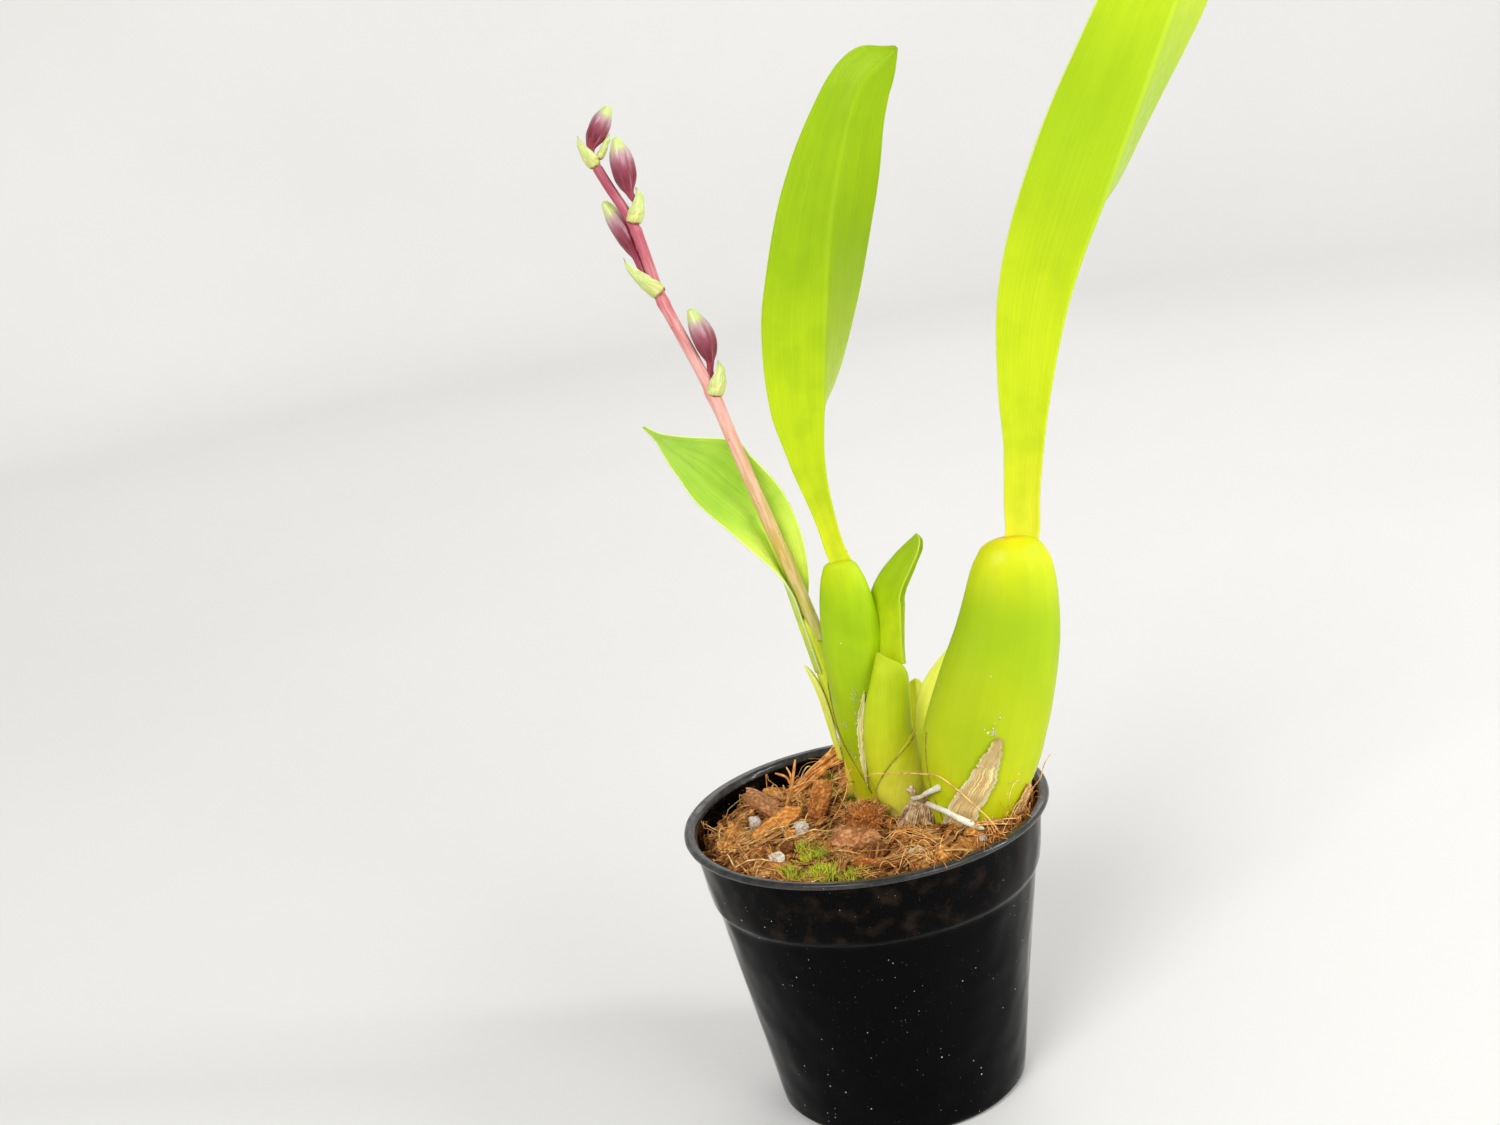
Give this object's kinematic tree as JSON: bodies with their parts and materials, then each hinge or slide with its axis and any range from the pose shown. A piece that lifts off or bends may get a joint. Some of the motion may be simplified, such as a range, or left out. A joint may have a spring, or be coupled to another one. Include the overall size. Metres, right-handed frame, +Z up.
{
  "type": "potted orchid plant",
  "caption": "Orchid plant in a tapered round nursery pot: oval pseudobulbs with long folded leaves, a new shoot with a low leaf, and a slender stem of closed flower buds.",
  "frame": {"origin": "centre of the pot's flat base, on the surface it stands on", "axes": "+Z up along the pot's axis; +Y away from the viewer, so the plant's open side with its flower stem and buds faces -Y; +X to the viewer's right, the way the tall leaf leans"},
  "size_m": [0.186, 0.0988, 0.3268],
  "materials": {
    "pot_plastic": "black moulded plastic, glossy with fine scratches and dust, rim more satin",
    "mix_coir": "matt red-brown coir, husk and bark, damp in places",
    "coir_fibre": "matt tan fibre",
    "bark": "matt bark, orange-brown where cut",
    "perlite": "matt white, crumbly, lightly stained",
    "bulb_green": "plant tissue, yellow-green, smooth and waxy, slightly translucent",
    "leaf_green": "plant tissue, bright green leaf with a satin sheen, light shows through",
    "leaf_low_green": "plant tissue, cooler green young leaf with pale edges",
    "shoot_green": "plant tissue, pale green sheathed shoot",
    "sheath_green": "plant tissue, thin pale sheath with papery margins",
    "dry_sheath": "papery dry sheath, tan with pale specks",
    "stem_pink": "plant tissue, pink-brown flower stem, satin",
    "bract_green": "plant tissue, pale green bracts with pink veins",
    "bud_maroon": "plant tissue, glossy maroon bud with pale lengthwise stripes",
    "root_white": "plant tissue, white spongy root skin, green-yellow tip",
    "old_wood": "grey-brown woolly remains of an old growth"
  },
  "bodies": {
    "root": {"pot": "pot_plastic", "potting_mix": "mix_coir", "bulb_tall": "bulb_green", "bulb_middle": "bulb_green", "bulb_young": "bulb_green", "shoot_stem": "shoot_green", "old_stub": "old_wood", "sheath_back_one": "sheath_green", "sheath_back_two": "sheath_green", "root_one": "root_white", "root_two": "root_white", "root_three": "root_white", "coir_chunk": "mix_coir", "bark_flat": "bark", "bark_strip": "bark", "husk_upright": "mix_coir", "wood_chip": "bark", "perlite_one": "perlite", "perlite_two": "perlite", "perlite_three": "perlite", "perlite_four": "perlite", "leaf_tall": "leaf_green", "leaf_middle": "leaf_green", "leaf_young": "leaf_green", "leaf_low": "leaf_low_green", "sheath_young_front": "sheath_green", "sheath_young_low": "sheath_green", "dry_sheath_tall": "dry_sheath", "dry_sheath_middle": "dry_sheath", "bract_low": "sheath_green", "flower_stem": "stem_pink", "bract_one": "bract_green", "bract_two": "bract_green", "bract_three": "bract_green", "bract_four": "bract_green", "bract_five": "bract_green", "bud_one": "bud_maroon", "bud_two": "bud_maroon", "bud_three": "bud_maroon", "bud_four": "bud_maroon", "fibre_strap": "coir_fibre"}
  },
  "joints": []
}
